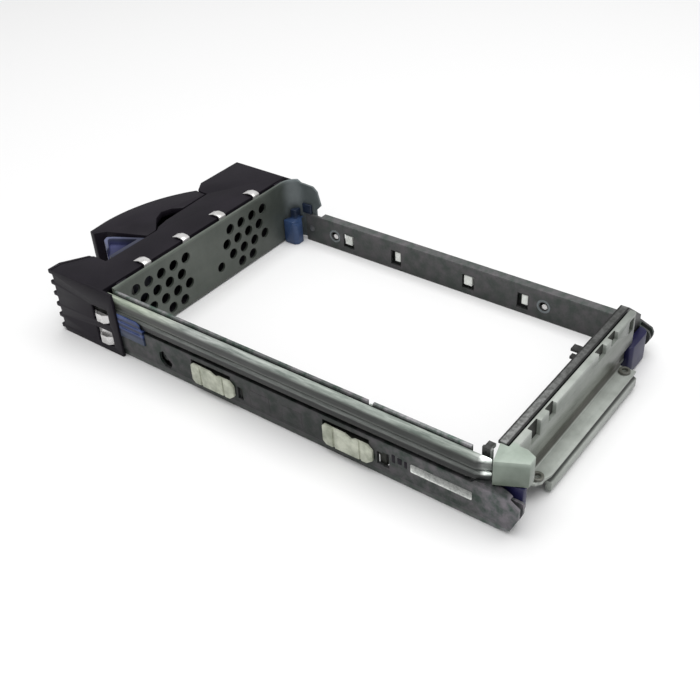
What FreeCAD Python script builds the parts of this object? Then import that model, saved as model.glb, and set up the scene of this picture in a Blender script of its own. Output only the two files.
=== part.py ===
# Hot swap drive caddy: an open tray for one 3.5 inch drive, with a swinging ejector handle.
# The origin is on the centre line, at the rear face of the front plate and on the underside.
# +X points to the right rail as seen from the front, +Y to the rear of the tray, +Z up.
import FreeCAD
import Part
import Sketcher
import math
import os
from FreeCAD import Placement, Rotation, Vector

doc = FreeCAD.newDocument("DriveCaddy")
sheet = doc.addObject("Spreadsheet::Sheet", "Sizes")
sizeRows = 0


class Size:
    # A length in millimetres together with the sheet expression that gives it.
    def __init__(self, number, text):
        self.number = number
        self.text = text

    def __add__(self, other):
        return Size(self.number + plain(other), f"({self.text} + {written(other)})")

    def __radd__(self, other):
        return Size(plain(other) + self.number, f"({written(other)} + {self.text})")

    def __sub__(self, other):
        return Size(self.number - plain(other), f"({self.text} - {written(other)})")

    def __rsub__(self, other):
        return Size(plain(other) - self.number, f"({written(other)} - {self.text})")

    def __mul__(self, other):
        return Size(self.number * plain(other), f"({self.text} * {written(other)})")

    __rmul__ = __mul__

    def __truediv__(self, other):
        return Size(self.number / plain(other), f"({self.text} / {written(other)})")

    def __neg__(self):
        return Size(-self.number, f"(-1 * {self.text})")


def plain(value):
    return value.number if isinstance(value, Size) else float(value)


def written(value):
    return value.text if isinstance(value, Size) else repr(float(value))


def size(alias, value, meaning):
    # Writes one driving dimension into the sheet.
    global sizeRows
    sizeRows += 1
    sheet.set(f"A{sizeRows}", meaning)
    sheet.set(f"B{sizeRows}", str(value))
    sheet.setAlias(f"B{sizeRows}", alias)
    return Size(float(value), f"Sizes.{alias}")


def bind(thing, prop, value):
    thing.setExpression(prop, written(value))


def outlinePoint(corner):
    return Vector(plain(corner[0]), plain(corner[1]), 0)


def arcCentre(start, end, radius, turn):
    # The centre of the short arc from start to end that turns left or right.
    half = (end - start) / 2
    rise = math.sqrt(max(radius ** 2 - half.Length ** 2, 0))
    side = Vector(-half.y, half.x, 0).normalize()
    if turn == "right":
        side = -side
    return start + half + side * rise


class Piece:
    # One moulded, pressed or turned piece, built up from outlines on its own origin planes.
    # On XY an outline is x, y; on YZ it is y, z; on XZ it is x, z.
    def __init__(self, label):
        self.label = label
        self.body = doc.addObject("PartDesign::Body", label)
        self.body.Label = label
        self.steps = 0

    def sketch(self, plane, low, high):
        self.steps += 1
        drawing = self.body.newObject("Sketcher::SketchObject", f"{self.label}_outline{self.steps}")
        role = f"{plane}_Plane"
        origin = [item for item in self.body.Origin.OriginFeatures if item.Role == role][0]
        drawing.AttachmentSupport = (origin, [""])
        drawing.MapMode = "FlatFace"
        offset = -1 * high if plane == "XZ" else low
        bind(drawing, "AttachmentOffset.Base.z", offset)
        return drawing

    def draw(self, drawing, corners):
        # A closed outline; a corner with a radius and a turn starts an arc instead of a straight.
        count = len(corners)
        first = drawing.GeometryCount
        ends = []
        for index, corner in enumerate(corners):
            start = outlinePoint(corner)
            end = outlinePoint(corners[(index + 1) % count])
            if len(corner) == 2:
                drawing.addGeometry(Part.LineSegment(start, end), False)
                ends.append((1, 2))
                continue
            radius = plain(corner[2])
            centre = arcCentre(start, end, radius, corner[3])
            sweep = (start, end) if corner[3] == "left" else (end, start)
            angles = [math.atan2(point.y - centre.y, point.x - centre.x) for point in sweep]
            circle = Part.Circle(centre, Vector(0, 0, 1), radius)
            drawing.addGeometry(Part.ArcOfCircle(circle, angles[0], angles[1]), False)
            ends.append((1, 2) if corner[3] == "left" else (2, 1))
        for index in range(count):
            after = (index + 1) % count
            drawing.addConstraint(Sketcher.Constraint(
                "Coincident", first + index, ends[index][1], first + after, ends[after][0]))
        for index, corner in enumerate(corners):
            for way, value in (("DistanceX", corner[0]), ("DistanceY", corner[1])):
                rule = Sketcher.Constraint(way, -1, 1, first + index, ends[index][0], plain(value))
                number = drawing.addConstraint(rule)
                bind(drawing, f"Constraints[{number}]", value)
            if len(corner) > 2:
                rule = Sketcher.Constraint("Radius", first + index, plain(corner[2]))
                number = drawing.addConstraint(rule)
                bind(drawing, f"Constraints[{number}]", corner[2])

    def drawCircle(self, drawing, across, up, radius):
        centre = Vector(plain(across), plain(up), 0)
        index = drawing.addGeometry(Part.Circle(centre, Vector(0, 0, 1), plain(radius)), False)
        for way, value in (("DistanceX", across), ("DistanceY", up)):
            number = drawing.addConstraint(Sketcher.Constraint(way, -1, 1, index, 3, plain(value)))
            bind(drawing, f"Constraints[{number}]", value)
        number = drawing.addConstraint(Sketcher.Constraint("Radius", index, plain(radius)))
        bind(drawing, f"Constraints[{number}]", radius)

    def shape(self, kind, plane, low, high, outlines=(), circles=()):
        drawing = self.sketch(plane, low, high)
        for corners in outlines:
            self.draw(drawing, corners)
        for across, up, radius in circles:
            self.drawCircle(drawing, across, up, radius)
        feature = self.body.newObject(f"PartDesign::{kind}", f"{self.label}_{kind}{self.steps}")
        feature.Profile = drawing
        bind(feature, "Length", high - low)
        feature.Reversed = kind == "Pocket"
        return feature

    def pad(self, plane, low, high, corners):
        self.shape("Pad", plane, low, high, [corners])

    def padRound(self, plane, low, high, across, up, radius):
        self.shape("Pad", plane, low, high, circles=[(across, up, radius)])

    def pocket(self, plane, low, high, corners):
        self.cut(plane, low, high, [corners])

    def cut(self, plane, low, high, outlines=(), circles=()):
        doc.recompute()
        before = self.body.Shape.Volume
        feature = self.shape("Pocket", plane, low, high, outlines, circles)
        doc.recompute()
        if not self.body.Shape.Volume < before:
            raise ValueError(f"{feature.Name} cuts nothing")


def rectangle(left, right, bottom, top):
    return [(left, bottom), (right, bottom), (right, top), (left, top)]


def mirrored(corners, across):
    # The same outline on the other side of the centre line where across is -1.
    return [(across * corner[0], corner[1]) for corner in corners]


# Tray
steel = size("steel", 1.0, "gauge of the tray's sheet steel")
slack = size("slack", 0.3, "gap between pieces that lie beside each other")
pivotSlack = size("pivotSlack", 0.05, "radial clearance of pins and rivets in their holes")
bayHalf = size("bayHalf", 51.2, "centre line to the inner face of a rail")
railDepth = size("railDepth", 3.8, "inner to outer face of a rail")
railTop = size("railTop", 13.2, "height of the left rail")
shelfTop = size("shelfTop", 15.5, "height of the right rail's outer wall")
humpRise = size("humpRise", 1.5, "rise of the right rail's outer wall near its rear end")
lipTop = size("lipTop", 27.0, "height of the right rail's inner lip")
railEnd = size("railEnd", 173.0, "front plate to the rear nose of the right rail")
leftRailEnd = size("leftRailEnd", 167.8, "front plate to the rear end of the left rail")
lipEnd = size("lipEnd", 154.8, "front plate to the rear end of the inner lip")
notchFront = size("notchFront", 116.5, "front plate to the notch in the inner lip")
notchLength = size("notchLength", 2.2, "length of the notch in the inner lip")
notchDepth = size("notchDepth", 2.0, "depth of the notch in the inner lip")
holeFirst = size("holeFirst", 23.2, "front plate to the first drive screw")
holeSpacing = size("holeSpacing", 101.6, "spacing of the drive screws")
holeUp = size("holeUp", 6.35, "height of the drive screws")
holeRadius = size("holeRadius", 1.85, "radius of a drive screw hole")
railFront = size("railFront", 7.4, "front plate to the start of the left rail")
railSlope = size("railSlope", 0.9, "inward slope at the foot of a rail's outer wall")
slopeTop = size("slopeTop", 3.6, "height of the slope at the foot of a rail")
frontRivet = size("frontRivet", 10.4, "front plate to the front rivets")
rearRivet = size("rearRivet", 158.6, "front plate to the rear rivets")
rivetUp = size("rivetUp", 6.5, "height of the rivets")
rivetRadius = size("rivetRadius", 1.5, "radius of a rivet")
rivetHead = size("rivetHead", 0.8, "overhang of a rivet's head")
webFrom = bayHalf + steel
railOut = bayHalf + railDepth
wallIn = railOut - steel
humpTop = shelfTop + humpRise
notchEnd = notchFront + notchLength
rivetHole = rivetRadius + pivotSlack

# Front plate
plateTop = size("plateTop", 28.4, "height of the front plate")
plateFoot = size("plateFoot", 1.0, "underside to the foot of the front plate")
rightEarRise = size("rightEarRise", 1.2, "foot of the plate to the foot of its right ear")
bendRadius = size("bendRadius", 7.0, "inner radius of the bend at the plate's left end")
earEnd = size("earEnd", 15.2, "front plate to the end of its left ear")
earTop = size("earTop", 26.6, "height of the left ear")
earStep = size("earStep", 15.5, "height of the step in the left ear")
rightEarEnd = size("rightEarEnd", 14.0, "front plate to the end of its right ear")
ventRadius = size("ventRadius", 2.3, "radius of a vent hole")
ventPitch = size("ventPitch", 6.8, "spacing of the vent holes along a row")
ventRow = size("ventRow", 5.89, "spacing of the rows of vent holes")
ventTop = size("ventTop", 22.4, "height of the top row of vent holes")
ventRight = size("ventRight", 15.0, "centre line to the first vent hole on the right")
ventLeft = size("ventLeft", 11.5, "centre line to the first vent hole on the left")
loneAcross = size("loneAcross", 3.6, "centre line to the single hole between the two fields")
loneUp = size("loneUp", 8.0, "height of the single hole between the two fields")
loneRadius = size("loneRadius", 2.15, "radius of the single hole between the two fields")

# Bezel
bezelProud = size("bezelProud", 1.3, "how far the bezel's sides stand out of the rails")
bezelTop = size("bezelTop", 28.4, "height of the bezel")
bezelWall = size("bezelWall", 2.2, "roof and floor of the bezel")
leftWall = size("leftWall", 3.4, "left wall of the bezel")
sideWall = size("sideWall", 1.2, "right wall of the bezel")
bezelFront = size("bezelFront", 30.8, "front plate to the front of the bezel")
bezelRear = size("bezelRear", 3.0, "front plate to the rear edge of the bezel's roof")
cheek = size("cheek", 2.4, "reach of the bezel's sides behind the plate's rear face")
recess = size("recess", 17.5, "front plate to the wall behind the handle")
cornerAcross = size("cornerAcross", 5.5, "width of the slope on the bezel's left shoulder")
cornerDrop = size("cornerDrop", 4.4, "height of the slope on the bezel's left shoulder")
blockWidth = size("blockWidth", 16.3, "width of the right block at its foot")
blockNose = size("blockNose", 5.3, "width of the right block at its front")
ribFirst = size("ribFirst", 2.0, "height of the lowest grip rib")
ribPitch = size("ribPitch", 5.05, "spacing of the grip ribs")
ribDepth = size("ribDepth", 2.0, "depth of the grip ribs")
ribWidth = size("ribWidth", 1.8, "width of a grip rib")
fingerWindowFoot = size("fingerWindowFoot", 3.2, "height of the lower finger window's foot")
fingerWindowPitch = size("fingerWindowPitch", 10.0, "spacing of the finger windows")
fingerWindowHeight = size("fingerWindowHeight", 6.7, "height of a finger window")
bezelHalf = railOut + bezelProud
blockIn = bezelHalf - blockWidth
noseIn = bezelHalf - blockNose
cavityLeft = -bezelHalf + leftWall
cavityRight = bezelHalf - sideWall
wallRear = 2.2 - recess

# Handle and latch
pivotInset = size("pivotInset", 18.3, "side of the bezel to the handle's pivot")
pivotAhead = size("pivotAhead", 5.5, "wall behind the handle to the handle's pivot")
pinRadius = size("pinRadius", 1.5, "radius of the handle's pin")
pinFoot = size("pinFoot", 0.6, "underside to the foot of the pin's bore")
blockRadius = size("blockRadius", 16.57, "pivot to the round end of the bezel's left block")
runningGap = size("runningGap", 0.35, "gap between the handle and the round end of the block")
handleArc = size("handleArc", 62.7, "radius of the handle's front")
handleFoot = size("handleFoot", 0.6, "underside to the foot of the handle")
handleTop = size("handleTop", 28.2, "height of the handle")
handlePlate = size("handlePlate", 2.8, "thickness of the handle's top and bottom plates")
gripInset = size("gripInset", 32.3, "side of the bezel to the right end of the handle")
clawFoot = size("clawFoot", 9.0, "underside to the foot of the claw")
clawTop = size("clawTop", 20.0, "height of the claw")
latchFoot = size("latchFoot", 2.5, "underside to the foot of the latch")
latchTop = size("latchTop", 27.6, "height of the latch")
latchDish = size("latchDish", 3.0, "depth of the dish in the latch's top")
tailFoot = size("tailFoot", 8.4, "underside to the foot of the latch's tail")
tailTop = size("tailTop", 19.6, "height of the latch's tail")
springLeaf = size("springLeaf", 0.3, "gauge of the latch spring")
springRise = size("springRise", 0.95, "step between the turns of the latch spring")
springLength = size("springLength", 6.0, "length of the latch spring at rest")
springGap = size("springGap", 0.1, "gap between the spring and what it bears on")
pivotX = bezelHalf - pivotInset
pivotY = recess + pivotAhead
gripEnd = bezelHalf - gripInset
tailEnd = gripEnd + 11.0
tailRear = 7.1 - recess
springStart = tailEnd + springGap
springEnd = springStart + springLength
seatX = springEnd + springGap

# Light pipes, pads and rear end
pipeInset = size("pipeInset", 0.1, "outer face of the rail to the outer face of the light pipes")
upperPipeTop = size("upperPipeTop", 26.0, "height of the upper light pipe")
upperPipeDepth = size("upperPipeDepth", 4.8, "top to underside of the upper light pipe")
lowerPipeTop = size("lowerPipeTop", 20.5, "height of the lower light pipe")
lowerPipeDepth = size("lowerPipeDepth", 3.6, "top to underside of the lower light pipe")
pipeRear = size("pipeRear", 157.6, "front plate to the outer edge of the light pipes' rear ends")
pipeSlant = size("pipeSlant", 4.6, "how much further back the inner edge of those ends lies")
padMiddle = size("padMiddle", 50.0, "front plate to the middle of the first pad of the right rail")
padSpacing = size("padSpacing", 60.1, "spacing of the two pads of a rail")
padShift = size("padShift", 6.6, "how much further forward the pads of the left rail sit")
padLength = size("padLength", 20.4, "length of a glide pad")
padFoot = size("padFoot", 4.0, "height of the foot of a glide pad")
padTop = size("padTop", 12.6, "height of the top of a glide pad")
padProud = size("padProud", 1.0, "how far a pad stands out of the rail")
crossFront = size("crossFront", 160.0, "front plate to the cross member's top flange")
crossRear = size("crossRear", 163.4, "front plate to the rear face of the cross member")
crossLeftInset = size("crossLeftInset", 12.0, "left rail to the left end of the top flange")
crossRightInset = size("crossRightInset", 5.7, "right rail to the right end of the top flange")
guideWall = size("guideWall", 2.4, "thickness of the rear guide's wall")
guideTop = size("guideTop", 26.8, "height of the rear guide")
shelfUp = size("shelfUp", 8.0, "height of the rear guide's shelf")
shelfPlate = size("shelfPlate", 1.3, "thickness of the rear guide's shelf")
guideReach = size("guideReach", 8.4, "front to rear face of the rear guide")
capTop = size("capTop", 26.8, "height of the rear guide's corner cap")
capFoot = size("capFoot", 17.3, "underside to the foot of the corner cap")
capWall = size("capWall", 1.6, "wall of the corner cap")
bossRadius = size("bossRadius", 2.1, "radius of the two bosses on the guide's shelf")
bossBore = size("bossBore", 1.1, "radius of the bores in those bosses")
fingerGauge = size("fingerGauge", 0.4, "gauge of the contact fingers")
fingerWidth = size("fingerWidth", 3.6, "width of a contact finger")
fingerPitch = size("fingerPitch", 21.25, "spacing of the contact fingers on the roof")
fingerFirst = size("fingerFirst", 31.15, "centre line to the leftmost contact finger")
pipeIn = webFrom + slack
pipeOut = railOut - pipeInset
pipeTip = pipeRear + pipeSlant
upperPipeFoot = upperPipeTop - upperPipeDepth
lowerPipeFoot = lowerPipeTop - lowerPipeDepth
crossLeft = crossLeftInset - bayHalf
crossRight = bayHalf - crossRightInset
guideFront = crossRear + 0.4
guideRear = guideFront + guideReach


# Front plate with its two ears
plate = Piece("front_plate")
bendX = -1 * (webFrom - bendRadius)
plate.pad("XY", plateFoot, plateTop, [
    (webFrom, -steel),
    (webFrom, 0),
    (bendX, 0, bendRadius, "right"),
    (-webFrom, bendRadius),
    (-webFrom, earEnd),
    (-webFrom - steel, earEnd),
    (-webFrom - steel, bendRadius, bendRadius + steel, "left"),
    (bendX, -steel),
])
plate.pad("XY", plateFoot + rightEarRise, railTop - steel - slack, [
    (webFrom - steel, -steel),
    (webFrom + steel, -steel),
    (webFrom + steel, rightEarEnd),
    (webFrom, rightEarEnd),
    (webFrom, 0),
    (webFrom - steel, 0),
])
plate.pocket("YZ", -webFrom - 2 * steel, bendX, [
    (2.5, plateTop + 1),
    (5.0, earTop + 0.2),
    (11.5, earTop - 0.2),
    (earEnd - 1.6, earTop - 2.0),
    (earEnd + 0.1, earStep + 2.7),
    (earEnd - 2.5, earStep),
    (earEnd - 2.5, -1),
    (earEnd + 2, -1),
    (earEnd + 2, plateTop + 1),
])
vents = []
for row, (count, start) in enumerate([(5, 0), (4, 3.4), (4, 0), (2, 3.9)]):
    for step in range(count):
        vents.append((ventRight + start + step * ventPitch, ventTop - row * ventRow, ventRadius))
for row, (count, start) in enumerate([(4, 0), (4, -3.0), (4, 0), (2, 4.8)]):
    for step in range(count):
        vents.append((-ventLeft - start - step * ventPitch, ventTop - row * ventRow, ventRadius))
vents.append((-loneAcross, loneUp, loneRadius))
plate.cut("XZ", -2 * steel, steel, circles=vents)
plate.cut("YZ", -webFrom - 2 * steel, -bayHalf, circles=[(frontRivet, rivetUp, rivetHole)])
plate.cut("YZ", bayHalf + steel / 2, webFrom + 2 * steel, circles=[(frontRivet, rivetUp, rivetHole)])


def padPlaces(side):
    # The middles of the two glide pads of one rail.
    shift = 0 if side == 1 else padShift
    return [padMiddle - shift, padMiddle + padSpacing - shift]


def rail(label, side, upper):
    # A box rail: inner web, outer wall and the shelf between them, open at both ends.
    piece = Piece(label)
    low, high = (bayHalf, railOut) if side == 1 else (-railOut, -bayHalf)
    piece.pad("YZ", low, high, upper)
    shelf = shelfTop if side == 1 else railTop
    piece.pocket("XZ", -1, railEnd + 1, mirrored([
        (webFrom, steel),
        (wallIn - railSlope, steel),
        (wallIn, steel + 3),
        (wallIn, shelf - steel),
        (webFrom, shelf - steel),
    ], side))
    piece.pocket("XZ", -1, railEnd + 1, mirrored([
        (railOut - railSlope, -1),
        (railOut - railSlope, 0),
        (railOut, slopeTop),
        (railOut + 1, slopeTop),
        (railOut + 1, -1),
    ], side))
    holes = [(holeFirst + step * holeSpacing, holeUp, holeRadius) for step in (0, 1)]
    webRivets = [(place, rivetUp, rivetHole) for place in (frontRivet, rearRivet)]
    webWindows = []
    wallWindows = []
    for middle in padPlaces(side):
        webWindows.append(rectangle(middle - 15.5, middle - 9.9, 2.6, 9.0))
        webWindows.append(rectangle(middle + 9.6, middle + 14.6, 2.2, 9.0))
        wallWindows.append(rectangle(middle - 10.6, middle + 8.4, padFoot + 0.7, shelf - steel - 0.8))
        wallWindows.append(rectangle(middle + 11.4, middle + 13.8, 5.4, 10.6))
    # The screwdriver reaches the drive screws through one slanted and one upright opening
    wallWindows.append([
        (holeFirst - 0.6, holeUp + 0.2),
        (holeFirst + 1.6, holeUp - 2.2),
        (holeFirst + 4.4, holeUp - 2.2),
        (holeFirst + 5.6, holeUp + 0.4),
        (holeFirst + 1.6, holeUp + 4.8),
        (holeFirst - 0.6, holeUp + 3.4),
    ])
    wallWindows.append(rectangle(holeFirst + holeSpacing - 0.9, holeFirst + holeSpacing + 1.5,
                                 holeUp - 1.2, holeUp + 4.8))
    webSide = [bayHalf - 1, webFrom + slack] if side == 1 else [-webFrom - slack, 1 - bayHalf]
    wallSide = [wallIn - railSlope, railOut + 1] if side == 1 else [-railOut - 1, railSlope - wallIn]
    piece.cut("YZ", webSide[0], webSide[1], webWindows, holes + webRivets)
    piece.cut("YZ", wallSide[0], wallSide[1], wallWindows)
    return piece


leftRail = rail("left_rail", -1, [
    (railFront, 0),
    (leftRailEnd - 5, 0),
    (leftRailEnd - 1.5, 4.6, 5.4, "left"),
    (leftRailEnd, 9.0),
    (leftRailEnd - 0.8, 10.6),
    (leftRailEnd - 7.0, railTop),
    (railFront, railTop),
])
leftRail.pocket("YZ", -railOut - 1, -webFrom, rectangle(railFront - 1, earEnd + slack, -1, railTop + 1))

rightRail = rail("right_rail", 1, [
    (0, 0),
    (railEnd - 7.6, 0),
    (railEnd - 2.9, 1.8),
    (railEnd - 0.1, 8.4),
    (railEnd, 12.4),
    (railEnd - 1.7, 13.3),
    (railEnd - 5, shelfTop),
    (railEnd - 9.8, humpTop),
    (railEnd - 15, humpTop),
    (railEnd - 16.5, shelfTop),
    (lipEnd, shelfTop),
    (lipEnd, lipTop),
    (notchEnd, lipTop),
    (notchEnd, lipTop - notchDepth),
    (notchFront, lipTop - notchDepth),
    (notchFront, lipTop),
    (0, lipTop),
])
rightRail.pocket("YZ", webFrom, railOut + 1, rectangle(-1, lipEnd + 1, shelfTop, lipTop + 1))
rightRail.pocket("YZ", wallIn - railSlope, railOut + 1, rectangle(-1, 15.8, 9.7, shelfTop + 1))
rightRail.pocket("YZ", bayHalf - 1, webFrom + 0.1, rectangle(crossFront + 0.8, railEnd + 1, 12.8, lipTop))


# Light pipes along the right rail, out through the front of the bezel
def lightPipe(label, low, high):
    pipe = Piece(label)
    pipe.pad("XZ", slack - bezelFront, pipeTip, [
        (pipeIn, low),
        (pipeOut, low),
        (pipeOut, high - 0.8),
        (pipeOut - 0.8, high),
        (pipeIn, high),
    ])
    pipe.pocket("XY", low - 1, high + 1, [
        (pipeOut, pipeRear),
        (pipeOut + 1, pipeRear),
        (pipeOut + 1, pipeTip + 1),
        (pipeIn, pipeTip + 1),
        (pipeIn, pipeTip),
    ])
    return pipe


upperPipe = lightPipe("light_pipe_upper", upperPipeFoot, upperPipeTop)
upperPipe.pad("YZ", bayHalf + 0.1, pipeIn + 0.5,
              rectangle(notchFront + 0.5, notchEnd - 0.5, lipTop - 1.8, lipTop - 1.1))
lowerPipe = lightPipe("light_pipe_lower", lowerPipeFoot, lowerPipeTop)
lowerPipe.pocket("YZ", pipeIn - 1, pipeOut + 1,
                 rectangle(lipEnd + 0.4, pipeTip + 1, lowerPipeFoot - 1, humpTop + slack))


# Glide pads: an outer shoe, a stem through the window and a spring arm with two nubs behind the web
def glidePad(label, side, middle):
    pad = Piece(label)
    armOut = wallIn - slack
    half = padLength / 2
    shoe = railOut + 0.05
    nubs = ((middle - 14.7, middle - 11.0), (middle + 11.6, middle + 14.3))
    pad.pad("XY", 8.2, 10.8, mirrored(rectangle(pipeIn, armOut, nubs[0][0], nubs[1][1]), side))
    pad.pad("XY", 5.0, 10.8, mirrored(rectangle(pipeIn, shoe, middle - 8, middle + 8), side))
    for front, rear in nubs:
        pad.pad("XY", 4.2, 8.6, mirrored(rectangle(bayHalf + 0.2, armOut, front, rear), side))
    low, high = (shoe, shoe + padProud) if side == 1 else (-shoe - padProud, -shoe)
    pad.pad("YZ", low, high, [
        (middle - half + 1.4, padFoot),
        (middle + half - 2.4, padFoot),
        (middle + half, padFoot + 2.0),
        (middle + half, padTop - 2.4),
        (middle + half - 2.0, padTop - 0.6),
        (middle + 3.0, padTop - 0.6),
        (middle + 1.6, padTop - 1.4),
        (middle - 1.0, padTop - 0.2),
        (middle - half + 0.8, padTop),
        (middle - half, padTop - 0.8),
        (middle - half, padFoot + 1.4),
    ])
    grooveLow, grooveHigh = (shoe + 0.5, shoe + 2) if side == 1 else (-shoe - 2, -shoe - 0.5)
    pad.cut("YZ", grooveLow, grooveHigh, [
        rectangle(middle - half + 4.2, middle - half + 5.0, padFoot - 1, padTop + 1),
        rectangle(middle + half - 5.4, middle + half - 4.7, padFoot - 1, padTop + 1),
    ])
    return pad


for side, name in ((-1, "left"), (1, "right")):
    for place, middle in zip(("front", "rear"), padPlaces(side)):
        glidePad(f"glide_pad_{name}_{place}", side, middle)


# Rivets that hold the ears and the cross member to the rails
def rivet(side, along, inner):
    start = inner if side == 1 else -1 * inner - 2 * steel
    shank = doc.addObject("Part::Cylinder", "RivetShank")
    bind(shank, "Radius", rivetRadius)
    bind(shank, "Height", 2 * steel)
    head = doc.addObject("Part::Cylinder", "RivetHead")
    bind(head, "Radius", rivetRadius + rivetHead)
    bind(head, "Height", 2 * slack)
    for piece, base in ((shank, start), (head, inner + 2 * steel if side == 1 else start - 2 * slack)):
        piece.Placement = Placement(Vector(0, 0, 0), Rotation(Vector(0, 1, 0), 90))
        bind(piece, "Placement.Base.x", base)
        bind(piece, "Placement.Base.y", along)
        bind(piece, "Placement.Base.z", rivetUp)
    whole = doc.addObject("Part::Fuse", "Rivet")
    whole.Base = shank
    whole.Tool = head
    return whole


rivets = doc.addObject("Part::Compound", "rivets")
rivets.Label = "rivets"
rivets.Links = [
    rivet(side, along, inner)
    for side in (-1, 1)
    for along, inner in ((frontRivet, bayHalf), (rearRivet, bayHalf - steel))
]

# Rear cross member
cross = Piece("rear_cross_member")
cross.pad("XZ", crossRear - steel, crossRear, [
    (-bayHalf, 3),
    (bayHalf, 3),
    (bayHalf, capFoot - slack),
    (crossRight, capFoot - slack),
    (crossRight, lipTop),
    (crossLeft, lipTop),
    (-bayHalf, 17.2),
])
cross.pad("XY", lipTop - steel, lipTop, rectangle(crossLeft, crossRight, crossFront, crossRear))
cross.pad("XY", lipTop - steel, lipTop, rectangle(-10, -7, crossFront - 3, crossRear))
cross.pad("XY", lipTop - steel, lipTop, rectangle(-5, -3, crossFront - 1.4, crossRear))
for side in (-1, 1):
    low, high = (bayHalf - steel, bayHalf) if side == 1 else (-bayHalf, steel - bayHalf)
    cross.pad("YZ", low, high, rectangle(crossFront - 5, crossRear, 2.5, 12.4))
    cross.cut("YZ", low - 1, high + 1, circles=[(rearRivet, rivetUp, rivetHole)])
# The upright tab at the right end, with its bent top
cross.pad("YZ", bayHalf - steel, bayHalf, rectangle(crossFront - 2.2, crossFront + 1.2, 12.0, lipTop + 0.8))
cross.pad("XY", lipTop - 0.4, lipTop + 0.8,
          rectangle(bayHalf - 3.4, bayHalf, crossFront - 1.8, crossFront + 0.6))

# Rear guide with its corner cap, shelf and lip
guide = Piece("rear_guide")
guideLeft = crossLeft + 0.7
guideRight = crossRight - 1.0
shelfLeft = guideLeft + 7.5
shelfRight = guideRight - 5.0
guideSkin = guideFront + 1.2
shelfFoot = shelfUp - shelfPlate
guide.pad("YZ", guideLeft, guideRight, [
    (guideFront, guideTop),
    (guideFront, shelfFoot),
    (guideRear - 2.2, shelfFoot),
    (guideRear - 2.2, 0.8),
    (guideRear - 0.8, 0.8),
    (guideRear, 1.6),
    (guideRear, 5.0),
    (guideRear - 1.2, 5.6),
    (guideRear - 1.2, shelfUp - 1.2),
    (guideRear - 0.4, shelfUp - 0.8),
    (guideRear - 0.4, shelfUp),
    (guideFront + guideWall, shelfUp),
    (guideSkin, shelfUp + 1.0),
    (guideSkin, 12.0),
    (guideFront + guideWall, 13.5),
    (guideFront + guideWall, guideTop),
])
guide.pocket("XZ", guideFront - 1, guideRear + 1, rectangle(guideLeft - 1, guideLeft + 3.1, -1, 13.2))
guide.pocket("XZ", guideSkin, guideRear + 1, rectangle(guideLeft - 1, shelfLeft, -1, 12.0))
guide.pocket("XZ", guideSkin, guideRear + 1, rectangle(shelfRight, guideRight + 1, -1, 12.0))
guide.pocket("XY", -1, shelfFoot, rectangle(shelfRight - 7.5, shelfRight + 1, guideRear - 3, guideRear + 1))
guide.pocket("XY", -1, shelfUp + 1, [
    (shelfRight - 7.5, guideRear - 0.5),
    (shelfRight - 1.5, guideRear - 2.6),
    (shelfRight, guideRear - 5.5),
    (shelfRight + 1, guideRear - 5.5),
    (shelfRight + 1, guideRear + 1),
    (shelfRight - 7.5, guideRear + 1),
])
slots = [
    (guideRight - 14.0, guideRight - 8.5, 20.8, guideTop + 1),
    (guideRight - 24.2, guideRight - 19.5, 22.2, guideTop + 1),
    (guideLeft + 23.5, guideLeft + 29.0, 23.2, guideTop + 1),
    (guideLeft + 14.5, guideLeft + 19.5, 23.8, guideTop + 1),
    (guideLeft + 1.5, guideLeft + 4.9, 20.0, guideTop - 1.6),
]
guide.cut("XZ", guideFront + 0.9, guideRear + 1, [
    rectangle(left, right, bottom, top) for left, right, bottom, top in slots])
for bossX, bossY in ((shelfRight - 4.1, guideRear - 3.4), (shelfLeft + 3.0, guideRear - 3.6)):
    guide.padRound("XY", shelfFoot, shelfUp + 1.2, bossX, bossY, bossRadius)
    guide.cut("XY", shelfUp - 0.8, shelfUp + 2, circles=[(bossX, bossY, bossBore)])
capIn = guideRight - 0.5
guide.pad("XY", capFoot, capTop, [
    (capIn, guideFront),
    (crossRight + 0.4, guideFront),
    (crossRight + 0.4, guideFront - 2.9),
    (railOut - 0.8, guideFront - 0.6),
    (railOut - 5.6, guideRear + 0.7),
    (capIn + 1.6, guideRear + 0.5),
    (capIn, guideRear - 3.0),
])
guide.pocket("XY", capFoot - 1, capTop - capWall, [
    (capIn + capWall, guideFront + capWall),
    (railOut - 2.0 * capWall, guideFront + capWall),
    (railOut - 5.6 - capWall, guideRear + 0.7 - capWall),
    (capIn + 1.6 + capWall, guideRear + 0.5 - capWall),
    (capIn + capWall, guideRear - 3.0 - capWall),
])

# Isolators at the four corners
frontLeft = Piece("isolator_front_left")
frontLeft.pad("XY", 0, 11.2, [
    (-bayHalf + 7.2, slack),
    (-bayHalf + 7.2, railFront - slack - 1.4),
    (-bayHalf + 5.8, railFront - slack),
    (-bayHalf + slack + 2.2, railFront - slack),
    (-bayHalf + slack, railFront - slack - 2.2),
    (-bayHalf + slack, 3.9),
    (bendX, slack),
])
frontLeft.pocket("YZ", -bayHalf, -bayHalf + 8, [
    (railFront - slack - 1.6, 11.2),
    (railFront - slack, 9.2),
    (railFront, 9.2),
    (railFront, 12),
    (railFront - slack - 1.6, 12),
])
frontLeft.pad("XY", 11.0, earStep, [
    (-bayHalf + 4.2, 2.0),
    (-bayHalf + 4.2, 5.0),
    (-bayHalf + slack, 5.0),
    (-bayHalf + slack, 3.9),
    (-bayHalf + 2.5, 2.0),
])

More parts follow.
